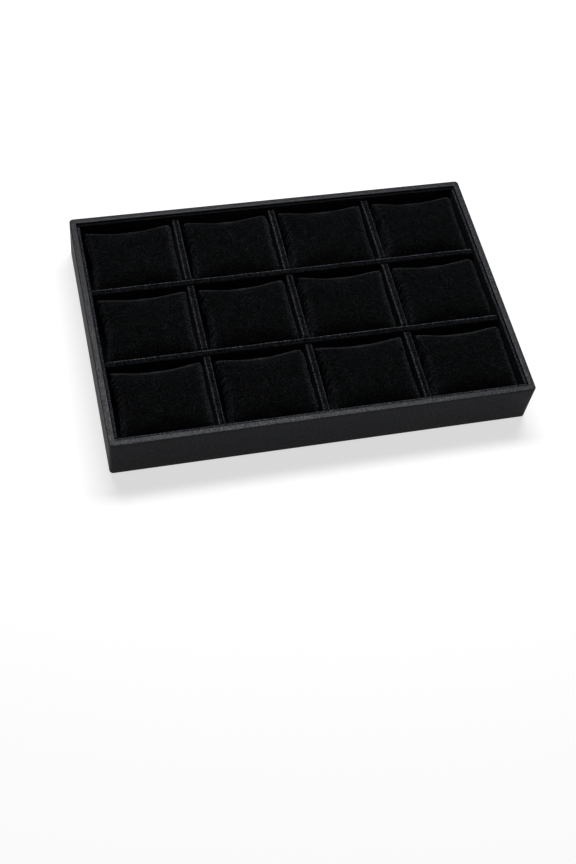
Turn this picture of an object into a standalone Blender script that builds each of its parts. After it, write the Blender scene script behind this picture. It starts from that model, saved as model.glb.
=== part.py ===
"""Watch display tray: a low open tray whose cells each hold a stuffed velvet pillow.

Four wall boards stand on a base board. One strip of leatherette dresses them: it is turned in
under the base, runs up the outside, folds over the rim and ends a little way down the inside.
A felt sheet closes the underside. Velvet linings cover the floor and the inside of the walls,
slotted velvet dividers make the cells, and a pillow lies in each cell.

Units are metres. +Z is up, the front faces -Y, and the origin is the middle of the underside.
"""

import math

import bmesh
import bpy

# Outside of the tray
LENGTH = 0.350
DEPTH = 0.230
HEIGHT = 0.041

# Clearance that every piece keeps from the one it touches
GAP = 0.0003

# Boards and sheets
WALL_BOARD = 0.003
BASE_BOARD = 0.003
BOARD_CORNER_RADIUS = 0.0013
LEATHERETTE = 0.0009
WALL_LINING = 0.0022
FLOOR_LINING = 0.002

# How the leatherette is folded, and how far the felt stands proud of it underneath
INNER_FOLD_RADIUS = 0.0004
LIP_HEIGHT = 0.012
TURN_IN = 0.016
FELT_PROUD = 0.0003

# Linings end just below the rim
LINING_DROP = 0.0012
LINING_EDGE_RADIUS = 0.0008

# Cells and the dividers between them
COLUMNS = 4
ROWS = 3
DIVIDER = 0.0055
DIVIDER_DROP = 0.003
DIVIDER_EDGE_RADIUS = 0.0013
DIVIDER_END_RADIUS = 0.0026
SLOT_MOUTH_RADIUS = 0.0018

# Pillows: their clearance in the cell, and how they are drawn in between their corners
PILLOW_DROP = 0.0015
PILLOW_SIDE_GAP = 0.002
PILLOW_END_GAP = 0.0025
SIDE_PULL_IN = 0.0048
END_PULL_IN = 0.0046
CORNER_LIFT = 0.0025
CORNER_SOFTNESS = 0.06
CORNER_SHARPNESS = 8
DOME_POWER = 4.5
DOME_ROUNDNESS = 3.0
UNDERSIDE_POWER = 9.0
SHOULDER = 0.9
GATHERS = 6
GATHER_DEPTH = 0.0009
GATHER_REACH = 0.3

# Smoothness of the round forms, in steps
FOLD_STEPS = 3
CORNER_STEPS = 3
EDGE_STEPS = 2
PILLOW_ACROSS = (0.0, 0.42, 0.72, 0.9)
PILLOW_SIDE_CUTS = (-0.45, 0.45)

# Layers from the underside up
felt_thickness = LEATHERETTE + FELT_PROUD
base_low = felt_thickness + GAP
base_high = base_low + BASE_BOARD
floor_low = base_high + GAP
floor_high = floor_low + FLOOR_LINING
cell_floor = floor_high + GAP
board_high = HEIGHT - LEATHERETTE - GAP
lining_high = HEIGHT - LINING_DROP
divider_high = HEIGHT - DIVIDER_DROP
pillow_high = HEIGHT - PILLOW_DROP

# Layers from the outside in, as distances from the tray's outer face
board_outer = LEATHERETTE + GAP
corner_radius = BOARD_CORNER_RADIUS + board_outer
fold_radius = INNER_FOLD_RADIUS + LEATHERETTE
board_inner = board_outer + WALL_BOARD
lip_face = board_inner + GAP + LEATHERETTE
lining_outer = lip_face + GAP
lining_inner = lining_outer + WALL_LINING

# Cells
inside_length = LENGTH - 2 * lining_inner
inside_depth = DEPTH - 2 * lining_inner
cell_length = (inside_length - (COLUMNS - 1) * DIVIDER) / COLUMNS
cell_depth = (inside_depth - (ROWS - 1) * DIVIDER) / ROWS
column_pitch = cell_length + DIVIDER
row_pitch = cell_depth + DIVIDER


def linear(hex_colour):
    """An sRGB colour such as 1F2023, as linear red, green, blue and alpha."""
    parts = [int(hex_colour[i : i + 2], 16) / 255 for i in (0, 2, 4)]
    curve = [c / 12.92 if c <= 0.04045 else ((c + 0.055) / 1.055) ** 2.4 for c in parts]
    return (*curve, 1.0)


def make_material(name, hex_colour, roughness, metallic=0.0):
    material = bpy.data.materials.new(name)
    material.use_nodes = True
    shader = material.node_tree.nodes["Principled BSDF"]
    shader.inputs["Base Color"].default_value = linear(hex_colour)
    shader.inputs["Roughness"].default_value = roughness
    shader.inputs["Metallic"].default_value = metallic
    material.diffuse_color = linear(hex_colour)
    return material


def add_object(name, bm, material, collection, place=(0.0, 0.0, 0.0), smooth_angle=35):
    """Turns a finished bmesh into a named object standing at the given place."""
    bmesh.ops.recalc_face_normals(bm, faces=bm.faces)
    mesh = bpy.data.meshes.new(name)
    bm.to_mesh(mesh)
    bm.free()
    mesh.materials.append(material)
    mesh.shade_smooth()
    mesh.set_sharp_from_angle(angle=math.radians(smooth_angle))
    obj = bpy.data.objects.new(name, mesh)
    obj.location = place
    collection.objects.link(obj)
    return obj


def box_bmesh(low, high):
    """A box between two corners."""
    bm = bmesh.new()
    bmesh.ops.create_cube(bm, size=1.0)
    for vert in bm.verts:
        for axis in range(3):
            vert.co[axis] = high[axis] if vert.co[axis] > 0 else low[axis]
    return bm


def centred_box(half_x, half_y, low_z, high_z):
    return box_bmesh((-half_x, -half_y, low_z), (half_x, half_y, high_z))


def round_edges(bm, radius, wanted):
    """Rounds each edge that passes the test."""
    edges = [edge for edge in bm.edges if wanted(*(vert.co for vert in edge.verts))]
    bmesh.ops.bevel(
        bm, geom=edges, offset=radius, segments=EDGE_STEPS, profile=0.5, affect="EDGES"
    )


def arc(centre, radius, start, end, steps):
    """Points of an arc between two angles in degrees, both ends included."""
    angles = [math.radians(start + (end - start) * i / steps) for i in range(steps + 1)]
    return [
        (centre[0] + radius * math.cos(a), centre[1] + radius * math.sin(a)) for a in angles
    ]


def tray_ring(inset, height):
    """The tray's rounded outline, drawn in by the inset, at one height."""
    half_x = LENGTH / 2 - inset
    half_y = DEPTH / 2 - inset
    radius = max(corner_radius - inset, INNER_FOLD_RADIUS)
    points = []
    for quarter, (side_x, side_y) in enumerate(((1, 1), (-1, 1), (-1, -1), (1, -1))):
        centre = (side_x * (half_x - radius), side_y * (half_y - radius))
        points += arc(centre, radius, 90 * quarter, 90 * (quarter + 1), CORNER_STEPS)
    return [(x, y, height) for x, y in points]


def leatherette_section():
    """The face of the folded strip, as (inset, height) from its edge under the base to its lip."""
    fold = fold_radius
    section = [(TURN_IN, FELT_PROUD)]
    section += arc((fold, FELT_PROUD + fold), fold, 270, 180, FOLD_STEPS)
    section += arc((fold, HEIGHT - fold), fold, 180, 90, FOLD_STEPS)
    section += arc((lip_face - fold, HEIGHT - fold), fold, 90, 0, FOLD_STEPS)
    section.append((lip_face, HEIGHT - LIP_HEIGHT))
    return section


def make_leatherette(material, collection):
    """The strip's face is lofted round the tray from ring to ring, then thickened inwards."""
    bm = bmesh.new()
    rings = [
        [bm.verts.new(point) for point in tray_ring(inset, height)]
        for inset, height in leatherette_section()
    ]
    for lower, upper in zip(rings, rings[1:]):
        count = len(lower)
        for i in range(count):
            j = (i + 1) % count
            bm.faces.new((lower[i], lower[j], upper[j], upper[i]))
    obj = add_object("leatherette_wrap", bm, material, collection)
    sheet = obj.modifiers.new("sheet thickness", "SOLIDIFY")
    sheet.thickness = LEATHERETTE
    sheet.offset = -1.0
    sheet.use_even_offset = True
    return obj


def side_panels(inset, thickness, low_z, high_z):
    """Four panels just inside an inset, by the side that each stands on.

    The front and back panels run through, and the left and right ones fit between them.
    """
    half_x = LENGTH / 2 - inset
    half_y = DEPTH / 2 - inset
    between = half_y - thickness - GAP
    return {
        "front": box_bmesh((-half_x, -half_y, low_z), (half_x, thickness - half_y, high_z)),
        "back": box_bmesh((-half_x, half_y - thickness, low_z), (half_x, half_y, high_z)),
        "left": box_bmesh((-half_x, -between, low_z), (thickness - half_x, between, high_z)),
        "right": box_bmesh((half_x - thickness, -between, low_z), (half_x, between, high_z)),
    }


def on_outer_corner(first, second):
    """Tells whether an edge stands upright on an outside corner of the boards."""
    half_x = LENGTH / 2 - board_outer
    half_y = DEPTH / 2 - board_outer
    upright = abs(first.z - second.z) > BASE_BOARD / 2
    return upright and abs(first.x) > half_x - GAP and abs(first.y) > half_y - GAP


def make_boards(material, collection):
    """The base board and the four walls that stand on it, butted at the corners."""
    half_x = LENGTH / 2 - board_outer
    half_y = DEPTH / 2 - board_outer
    base = centred_box(half_x, half_y, base_low, base_high)
    round_edges(base, BOARD_CORNER_RADIUS, on_outer_corner)
    add_object("base_board", base, material, collection)

    walls = side_panels(board_outer, WALL_BOARD, base_high + GAP, board_high)
    for side, wall in walls.items():
        if side in ("front", "back"):
            round_edges(wall, BOARD_CORNER_RADIUS, on_outer_corner)
        add_object(f"{side}_wall", wall, material, collection)


def make_base_cover(material, collection):
    """The felt sheet that lies inside the leatherette's turned-in edge."""
    inset = TURN_IN + GAP
    cover = centred_box(LENGTH / 2 - inset, DEPTH / 2 - inset, 0.0, felt_thickness)
    add_object("base_cover", cover, material, collection)


def make_linings(material, collection):
    """The floor lining, and a lining on each wall with a soft top edge."""
    inset = board_inner + GAP
    floor = centred_box(LENGTH / 2 - inset, DEPTH / 2 - inset, floor_low, floor_high)
    add_object("floor_lining", floor, material, collection)

    def at_the_top(first, second):
        return min(first.z, second.z) > lining_high - GAP

    for side, panel in side_panels(lining_outer, WALL_LINING, cell_floor, lining_high).items():
        round_edges(panel, LINING_EDGE_RADIUS, at_the_top)
        add_object(f"{side}_lining", panel, material, collection)


def divider_outline(length, slots, slots_open_at_top):
    """Side view of a divider as (along, height), with a half-height slot at each crossing."""
    half = length / 2
    slot_half = DIVIDER / 2 + GAP
    middle = (cell_floor + divider_high) / 2
    end = DIVIDER_END_RADIUS
    mouth = SLOT_MOUTH_RADIUS

    outline = [(-half, cell_floor)]
    if not slots_open_at_top:
        roof = middle + GAP / 2
        for slot in slots:
            outline.append((slot - slot_half, cell_floor))
            outline.append((slot - slot_half, roof))
            outline.append((slot + slot_half, roof))
            outline.append((slot + slot_half, cell_floor))
    outline.append((half, cell_floor))
    outline += arc((half - end, divider_high - end), end, 0, 90, FOLD_STEPS)
    if slots_open_at_top:
        sill = middle - GAP / 2
        for slot in reversed(slots):
            right = (slot + slot_half + mouth, divider_high - mouth)
            left = (slot - slot_half - mouth, divider_high - mouth)
            outline += arc(right, mouth, 90, 180, FOLD_STEPS)
            outline.append((slot + slot_half, sill))
            outline.append((slot - slot_half, sill))
            outline += arc(left, mouth, 0, 90, FOLD_STEPS)
    outline += arc((-half + end, divider_high - end), end, 90, 180, FOLD_STEPS)
    return outline


def divider_bmesh(outline):
    """The outline made as thick as a divider, with soft edges along its top."""
    bm = bmesh.new()
    face = bm.faces.new([bm.verts.new((along, -DIVIDER / 2, z)) for along, z in outline])
    made = bmesh.ops.extrude_face_region(bm, geom=[face])
    far_side = [item for item in made["geom"] if isinstance(item, bmesh.types.BMVert)]
    bmesh.ops.translate(bm, verts=far_side, vec=(0.0, DIVIDER, 0.0))
    top = divider_high - DIVIDER_END_RADIUS - GAP

    def along_the_top(first, second):
        return abs(first.y - second.y) < GAP and min(first.z, second.z) > top

    round_edges(bm, DIVIDER_EDGE_RADIUS, along_the_top)
    return bm


def make_dividers(material, collection):
    """Long dividers run the tray's length, and short ones drop over them at their slots."""
    column_lines = [(i - (COLUMNS - 2) / 2) * column_pitch for i in range(COLUMNS - 1)]
    row_lines = [(i - (ROWS - 2) / 2) * row_pitch for i in range(ROWS - 1)]

    outline = divider_outline(inside_length - 2 * GAP, column_lines, False)
    for number, y in enumerate(row_lines, start=1):
        name = f"row_divider_{number}"
        add_object(name, divider_bmesh(outline), material, collection, (0.0, y, 0.0))

    outline = divider_outline(inside_depth - 2 * GAP, row_lines, True)
    for number, x in enumerate(column_lines, start=1):
        name = f"column_divider_{number}"
        divider = add_object(name, divider_bmesh(outline), material, collection, (x, 0.0, 0.0))
        divider.rotation_euler = (0.0, 0.0, math.radians(90))


def smooth_step(value, low, high):
    share = min(max((value - low) / (high - low), 0.0), 1.0)
    return share * share * (3 - 2 * share)


def pillow_point(u, v, w):
    """Carries a point of the cube's skin to the pillow.

    Each square ring of the cube is one level of the pillow: the ring's size is its share of
    the way from the crown to the seam, and a superellipse gives its height. The sides are
    drawn in between the corners, the corners are rounded and lifted, and gathers run in from
    the left and right seams.
    """
    power = DOME_POWER if w > 0 else UNDERSIDE_POWER
    shoulder_height = (1 - SHOULDER**power) ** (1 / DOME_ROUNDNESS)
    if abs(w) > 0.999:
        ring = SHOULDER * max(abs(u), abs(v))
        u, v = u * SHOULDER, v * SHOULDER
    else:
        ring = (1 - abs(w * shoulder_height) ** DOME_ROUNDNESS) ** (1 / power)
        u, v = u * ring, v * ring
    rise = (1 - min(ring, 1.0) ** power) ** (1 / DOME_ROUNDNESS)

    corner = (abs(u) * abs(v)) ** CORNER_SHARPNESS
    x = u * (cell_length / 2 - SIDE_PULL_IN * (1 - v * v)) * (1 - CORNER_SOFTNESS * corner)
    y = v * (cell_depth / 2 - END_PULL_IN * (1 - u * u)) * (1 - CORNER_SOFTNESS * corner)
    z = math.copysign(rise, w) * (pillow_high - cell_floor) / 2
    if w > 0:
        z += CORNER_LIFT * (u * v) ** 2

    near_seam = smooth_step(abs(u), 1 - GATHER_REACH, 1.0) * (1 - v**4)
    groove = 0.5 - 0.5 * math.cos(math.pi * GATHERS * (v / max(ring, SHOULDER) + 1))
    x -= math.copysign(GATHER_DEPTH * near_seam * groove, u)
    return x, y, z


def fit_between(points, low, high):
    """Stretches the points along each axis so that they fill the box between two corners."""
    fitted = []
    for axis in range(3):
        values = [point[axis] for point in points]
        least, most = min(values), max(values)
        scale = (high[axis] - low[axis]) / (most - least)
        fitted.append([low[axis] + (value - least) * scale for value in values])
    return list(zip(*fitted))


def pillow_mesh(material):
    """One stuffed pillow: a finely cut cube whose skin is carried to the pillow's form."""
    bm = bmesh.new()
    bmesh.ops.create_cube(bm, size=2.0)
    across = sorted({side * cut for cut in PILLOW_ACROSS for side in (-1, 1)})
    along = [i / GATHERS - 1 for i in range(1, 2 * GATHERS)]
    for axis, cuts in enumerate((across, along, PILLOW_SIDE_CUTS)):
        normal = [float(axis == i) for i in range(3)]
        for cut in cuts:
            whole = bm.verts[:] + bm.edges[:] + bm.faces[:]
            place = [cut * part for part in normal]
            bmesh.ops.bisect_plane(bm, geom=whole, plane_co=place, plane_no=normal)

    half_x = cell_length / 2 - PILLOW_SIDE_GAP
    half_y = cell_depth / 2 - PILLOW_END_GAP
    points = [pillow_point(*vert.co) for vert in bm.verts]
    low = (-half_x, -half_y, cell_floor)
    high = (half_x, half_y, pillow_high)
    for vert, point in zip(bm.verts, fit_between(points, low, high)):
        vert.co = point
    bmesh.ops.recalc_face_normals(bm, faces=bm.faces)
    mesh = bpy.data.meshes.new("pillow")
    bm.to_mesh(mesh)
    bm.free()
    mesh.materials.append(material)
    mesh.shade_smooth()
    return mesh


def make_pillows(material, collection):
    """One pillow in each cell, named by its row and counted from the left."""
    mesh = pillow_mesh(material)
    row_names = {0: "front", ROWS - 1: "back"}
    for row in range(ROWS):
        row_name = row_names.get(row, "middle" if ROWS == 3 else f"row_{row + 1}")
        for column in range(COLUMNS):
            pillow = bpy.data.objects.new(f"pillow_{row_name}_{column + 1}", mesh)
            pillow.location.x = (column - (COLUMNS - 1) / 2) * column_pitch
            pillow.location.y = (row - (ROWS - 1) / 2) * row_pitch
            collection.objects.link(pillow)


def main():
    for obj in list(bpy.data.objects):
        bpy.data.objects.remove(obj, do_unlink=True)
    tray = bpy.data.collections.new("watch_display_tray")
    bpy.context.scene.collection.children.link(tray)

    board = make_material("fibreboard", "8C7A60", 0.85)
    leatherette = make_material("black leatherette", "2A2B2E", 0.5)
    felt = make_material("black felt", "151517", 0.95)
    velvet = make_material("black lining velvet", "17181B", 0.9)
    divider_velvet = make_material("black divider velvet", "1B1C20", 0.9)
    pillow_velvet = make_material("black pillow velvet", "0E0F12", 0.95)

    make_base_cover(felt, tray)
    make_boards(board, tray)
    make_leatherette(leatherette, tray)
    make_linings(velvet, tray)
    make_dividers(divider_velvet, tray)
    make_pillows(pillow_velvet, tray)


main()
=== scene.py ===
"""The looks of the watch display tray, laid over its CAD frame.

The leatherette, the velvet linings, the velvet dividers and the twelve stuffed pillows are worked
out again here with finer surfaces. The boards, the floor lining and the felt underneath stay as
the frame gives them, with better finishes. Units are metres. +Z is up and the front faces -Y.
"""

import math

import bpy
import numpy as np
from mathutils import Matrix, Vector


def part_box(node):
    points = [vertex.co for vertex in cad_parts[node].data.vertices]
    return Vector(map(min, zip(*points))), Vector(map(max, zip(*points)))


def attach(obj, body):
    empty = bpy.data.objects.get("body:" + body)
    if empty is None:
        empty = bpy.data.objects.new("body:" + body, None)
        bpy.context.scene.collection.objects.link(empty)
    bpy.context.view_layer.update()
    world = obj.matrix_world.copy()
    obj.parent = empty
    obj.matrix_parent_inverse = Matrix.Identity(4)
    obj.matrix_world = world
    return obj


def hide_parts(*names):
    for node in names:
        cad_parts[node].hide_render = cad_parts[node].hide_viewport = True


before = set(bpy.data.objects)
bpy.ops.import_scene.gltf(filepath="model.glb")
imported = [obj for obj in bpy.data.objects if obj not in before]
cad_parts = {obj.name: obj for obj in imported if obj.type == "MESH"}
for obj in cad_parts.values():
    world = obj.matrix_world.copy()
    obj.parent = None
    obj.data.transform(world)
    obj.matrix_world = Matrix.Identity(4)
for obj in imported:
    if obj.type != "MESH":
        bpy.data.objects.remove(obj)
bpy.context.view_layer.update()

bl_info = {
    "name": "Watch Display Tray",
    "version": (1, 0, 0),
    "blender": (4, 5, 0),
    "location": "3D View > Sidebar > Tray",
    "description": "Dresses the frame of a watch display tray in leatherette, velvet and pillows",
    "category": "Object",
}

MM = 0.001

# The clearance that the frame's pieces keep from each other
GAP = 0.3 * MM

# Cells in the tray
ROW_NAMES = ("front", "middle", "back")
COLUMNS = 4
SIDES = ("front", "back", "left", "right")

# Name of the mesh attribute that makes the velvets paler along their bends. It is partly pile
# opened by the bend and partly a painted sheen, a painted highlight of the light from behind the
# tray: the shares are highest on edges that face that light and nil on the back lining's top,
# which lies in the rim's shade. The shares are for the front and back edge of a long divider, the
# right and left edge of a short one and the top edges of the linings.
OPENED_PILE_SHEEN_ATTRIBUTE = "fold"
ROW_OPENNESS_AND_SHEEN = (0.03, 1.0)
COLUMN_OPENNESS_AND_SHEEN = (0.45, 0.75)
LINING_OPENNESS_AND_SHEEN = {"front": 0.55, "back": 0.0, "left": 0.42, "right": 0.42}

# The same opened pile and painted sheen along a pillow's back, right and left edges, strongest
# along the back edge that faces the light, with the place where it starts to grow and the place
# where it is full, on a scale with 0 at the pillow's middle and 1 at its seam
PILLOW_OPENNESS_AND_SHEEN = {"back": (0.36, 0.78), "right": (0.2, 0.78), "left": (0.12, 0.8)}
PILLOW_OPENNESS_AND_SHEEN_FULL = 0.98

# How strongly each velvet glows where its pile is seen at a flat angle
LINING_SHEEN = 0.03
DIVIDER_SHEEN = 0.01
PILLOW_SHEEN = 0.04
FLOOR_SHEEN = 0.12

# Distance between points on straight stretches of the leatherette, linings and dividers, and
# numbers of steps round a fold and a corner, and up a covered board's side, over its edge and
# across its top
POINT_SPACING = 3 * MM
FOLD_STEPS = 6
CORNER_STEPS = 8
SIDE_STEPS = 12
EDGE_STEPS = 5
TOP_STEPS = 6

# Unevenness of the leatherette's outside, of the covered boards and of the dividers' tops
WRAP_SET_IN = 0.08 * MM
WRAP_WAVE = 0.10 * MM
BOARD_WAVE = 0.12 * MM
CREST_WAVE = 0.15 * MM

# Soft ends and edges of the linings and the dividers
LINING_END_RADIUS = 0.5 * MM
LINING_EDGE_RADIUS = 0.9 * MM
DIVIDER_END_RADIUS = 2.6 * MM
DIVIDER_EDGE_RADIUS = 1.5 * MM

# The form of a pillow before it is stuffed: how much it is larger than its solid, how much its
# back is lifted, how the fullness of its dome falls off towards its sides, how high its seam
# lies, and how far it lies to the right of its cell's middle
PILLOW_EXTRA = (3.4 * MM, 4.2 * MM, -2.2 * MM)
LEAN = 1.0 * MM
ACROSS_POWER = 7.0
ALONG_POWER = 3.7
MEETING = 1.9
PILLOW_ROUNDNESS = 2.78
SEAM_SHARE = 0.61
PILLOW_SHIFT = 0.6 * MM

# Numbers of points along a pillow's sheets, the seeds of its variants, and how much pillows
# differ: in how far their seams are drawn in, in how round their corners are, and in how many
# degrees they are turned
SHEET_ACROSS = 65
SHEET_ALONG = 55
PILLOW_SEEDS = (101, 102, 103, 104)
PULL_SPREAD = 0.6 * MM
CORNER_SOFTNESS = (0.04, 0.1)
TURN_SPREAD = 1.2

# Gathers, as shares of half a pillow's length or depth: the stretch of seam on which they start,
# their shift along it, slant, reach and width, and the share of the full depth that each takes
GATHER_STRETCH = 0.88
GATHER_SHIFT = 0.03
GATHER_SLANT = (0.1, 0.5)
GATHER_REACH = (0.12, 0.32)
GATHER_WIDTH = (0.028, 0.045)
GATHER_SHARE = (0.5, 1.0)

# Cloth simulation of the pillows: its size beside life, its length, how far a point may move, and
# the settings of the cloth
SIMULATION_SCALE = 10.0
SIMULATION_FRAMES = 20
SIMULATION_CAP = 4.0 * MM
CLOTH_SETTINGS = {
    "quality": 8,
    "mass": 0.3,
    "tension_stiffness": 40,
    "compression_stiffness": 15,
    "shear_stiffness": 5,
    "bending_stiffness": 6,
    "use_pressure": True,
    "uniform_pressure_force": 1.0,
    "vertex_group_mass": "seam",
}

# Floor, softbox and the photo's camera, whose angles are in degrees
FLOOR_SIZE = 6.0
FLOOR_GREY = 0.5
FLOOR_GLOW = 0.66
KEY_DIRECTION = (0.09, 0.46, 0.88)
KEY_DISTANCE = 1.7
KEY_SIZE = (1.3, 0.4)
CAMERA_PLACE = (-0.23964, -0.63274, 0.89682)
CAMERA_AZIMUTH = 21.756
CAMERA_ELEVATION = 57.332
CAMERA_ROLL = 10.79


def linear(hex_colour):
    """An sRGB colour such as 1F2023, as linear red, green, blue and alpha."""
    parts = np.array([int(hex_colour[i : i + 2], 16) for i in (0, 2, 4)]) / 255
    curve = np.where(parts <= 0.04045, parts / 12.92, ((parts + 0.055) / 1.055) ** 2.4)
    return (*curve.tolist(), 1.0)


def box_of(node):
    """The lowest and the highest corner of a node of the frame, as arrays."""
    low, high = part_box(node)
    return np.array(low), np.array(high)


def smooth_step(value, low, high):
    """0 below the low value, 1 above the high one, and a cubic without kinks between."""
    share = np.clip((value - low) / (high - low), 0.0, 1.0)
    return share * share * (3 - 2 * share)


def slow_wave(distance, draw, longest, depth):
    """A gentle unevenness: four sines of random phase, each shorter and lower than the last."""
    wave = np.zeros_like(distance)
    for part in range(4):
        length = longest / (1.6**part)
        wave += np.sin(math.tau * distance / length + draw.uniform(0, math.tau)) / 1.5**part
    return depth * wave / 2


# Meshes


def quads_of(numbers):
    """Quads between neighbouring entries of a grid of point numbers."""
    return np.stack(
        [numbers[:-1, :-1], numbers[1:, :-1], numbers[1:, 1:], numbers[:-1, 1:]], axis=-1
    ).reshape(-1, 4)


def loft_faces(rings, around, ends_closed):
    """Faces of a surface whose closed rings follow each other.

    The rings either meet again as a hoop, or the first and last are closed with a flat face.
    """
    numbers = np.arange(rings * around).reshape(rings, around)
    grid = np.concatenate([numbers, numbers[:, :1]], axis=1)
    if ends_closed:
        return [quads_of(grid), numbers[:1], numbers[-1:, ::-1]]
    return [quads_of(np.concatenate([grid, grid[:1]], axis=0))]


def mesh_piece(name, points, face_groups, material, attributes=None):
    """Puts points and faces into a new object, which rides on the tray.

    Each group of faces is an array with one row of point numbers for each face.
    """
    corners = np.concatenate([group.ravel() for group in face_groups])
    sizes = np.concatenate([np.full(len(group), group.shape[1]) for group in face_groups])
    starts = np.concatenate([[0], np.cumsum(sizes)[:-1]])
    mesh = bpy.data.meshes.new(name)
    mesh.vertices.add(len(points))
    mesh.vertices.foreach_set("co", points.astype(np.float32).ravel())
    mesh.loops.add(len(corners))
    mesh.loops.foreach_set("vertex_index", corners.astype(np.int32))
    mesh.polygons.add(len(sizes))
    mesh.polygons.foreach_set("loop_start", starts.astype(np.int32))
    mesh.update(calc_edges=True)
    mesh.validate()
    for label, values in (attributes or {}).items():
        layer = mesh.attributes.new(label, "FLOAT", "POINT")
        layer.data.foreach_set("value", values.astype(np.float32).ravel())
    mesh.shade_smooth()
    mesh.materials.append(material)
    obj = bpy.data.objects.new(name, mesh)
    bpy.context.scene.collection.objects.link(obj)
    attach(obj, "root")
    return obj


# Finishes


def add_node(tree, kind, inputs=None, **settings):
    """Adds a node with its settings, and sets or links its inputs by name or number."""
    node = tree.nodes.new(kind)
    for label, value in settings.items():
        setattr(node, label, value)
    for label, value in (inputs or {}).items():
        if isinstance(value, bpy.types.NodeSocket):
            tree.links.new(value, node.inputs[label])
        else:
            node.inputs[label].default_value = value
    return node


def new_finish(name):
    """An empty node material, with its shader and the piece's own coordinates."""
    material = bpy.data.materials.new(name)
    material.use_nodes = True
    tree = material.node_tree
    tree.nodes.clear()
    shader = add_node(tree, "ShaderNodeBsdfPrincipled")
    output = add_node(tree, "ShaderNodeOutputMaterial", {"Surface": shader.outputs["BSDF"]})
    output.is_active_output = True
    coordinates = add_node(tree, "ShaderNodeTexCoord").outputs["Object"]
    return material, tree, shader, coordinates


def embossed_leatherette(name, colour, grain):
    """Polyurethane leatherette with a fine pebble grain pressed into it.

    The film is nearly black under a clear top coat, which gives it a soft shine. Each pebble is a
    low dome, and the valleys between the pebbles are a little duller than the tops and painted
    darker, as painted shade in the grain.
    The film varies a little from patch to patch, some 22 mm across. The grain of about 0.6 mm is
    too fine for the render, so it is drawn about three times coarser.
    """
    material, tree, shader, coordinates = new_finish(name)
    wander = add_node(
        tree, "ShaderNodeTexNoise", {"Vector": coordinates, "Scale": 0.35 / grain, "Detail": 2.0}
    )
    bent = add_node(
        tree,
        "ShaderNodeVectorMath",
        {0: wander.outputs["Color"], 1: (grain, grain, grain)},
        operation="MULTIPLY",
    )
    place = add_node(
        tree, "ShaderNodeVectorMath", {0: coordinates, 1: bent.outputs[0]}, operation="ADD"
    )
    pebbles = add_node(
        tree,
        "ShaderNodeTexVoronoi",
        {"Vector": place.outputs[0], "Scale": 1 / grain, "Randomness": 0.9},
        feature="DISTANCE_TO_EDGE",
    )
    dome = add_node(
        tree,
        "ShaderNodeMapRange",
        {"Value": pebbles.outputs["Distance"], "From Min": 0.0, "From Max": 0.35},
        interpolation_type="SMOOTHSTEP",
    )
    patches = add_node(
        tree, "ShaderNodeTexNoise", {"Vector": coordinates, "Scale": 45.0, "Detail": 3.0}
    )
    # The valleys are painted darker than the tops: painted shade
    valley_painted_shade = tuple(0.55 * part for part in colour[:3]) + (1.0,)
    tone = add_node(
        tree,
        "ShaderNodeMix",
        {0: dome.outputs["Result"], 6: valley_painted_shade, 7: colour},
        data_type="RGBA",
    )
    uneven = add_node(
        tree,
        "ShaderNodeMapRange",
        {"Value": patches.outputs["Fac"], "To Min": 0.85, "To Max": 1.15},
    )
    shaded = add_node(
        tree,
        "ShaderNodeVectorMath",
        {0: tone.outputs[2], "Scale": uneven.outputs["Result"]},
        operation="SCALE",
    )
    dullness = add_node(
        tree,
        "ShaderNodeMapRange",
        {"Value": dome.outputs["Result"], "To Min": 0.6, "To Max": 0.42},
    )
    bump = add_node(
        tree,
        "ShaderNodeBump",
        {"Height": dome.outputs["Result"], "Strength": 0.55, "Distance": 0.2 * MM},
    )
    tree.links.new(shaded.outputs[0], shader.inputs["Base Color"])
    tree.links.new(dullness.outputs["Result"], shader.inputs["Roughness"])
    tree.links.new(bump.outputs["Normal"], shader.inputs["Normal"])
    tree.links.new(bump.outputs["Normal"], shader.inputs["Coat Normal"])

    # A coat denser than a real lacquer's 1.5, so that the rim is pale while the front stays dark
    shader.inputs["Specular IOR Level"].default_value = 0.02
    shader.inputs["Coat Weight"].default_value = 0.078
    shader.inputs["Coat Roughness"].default_value = 0.28
    shader.inputs["Coat IOR"].default_value = 2.0
    return material


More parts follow.
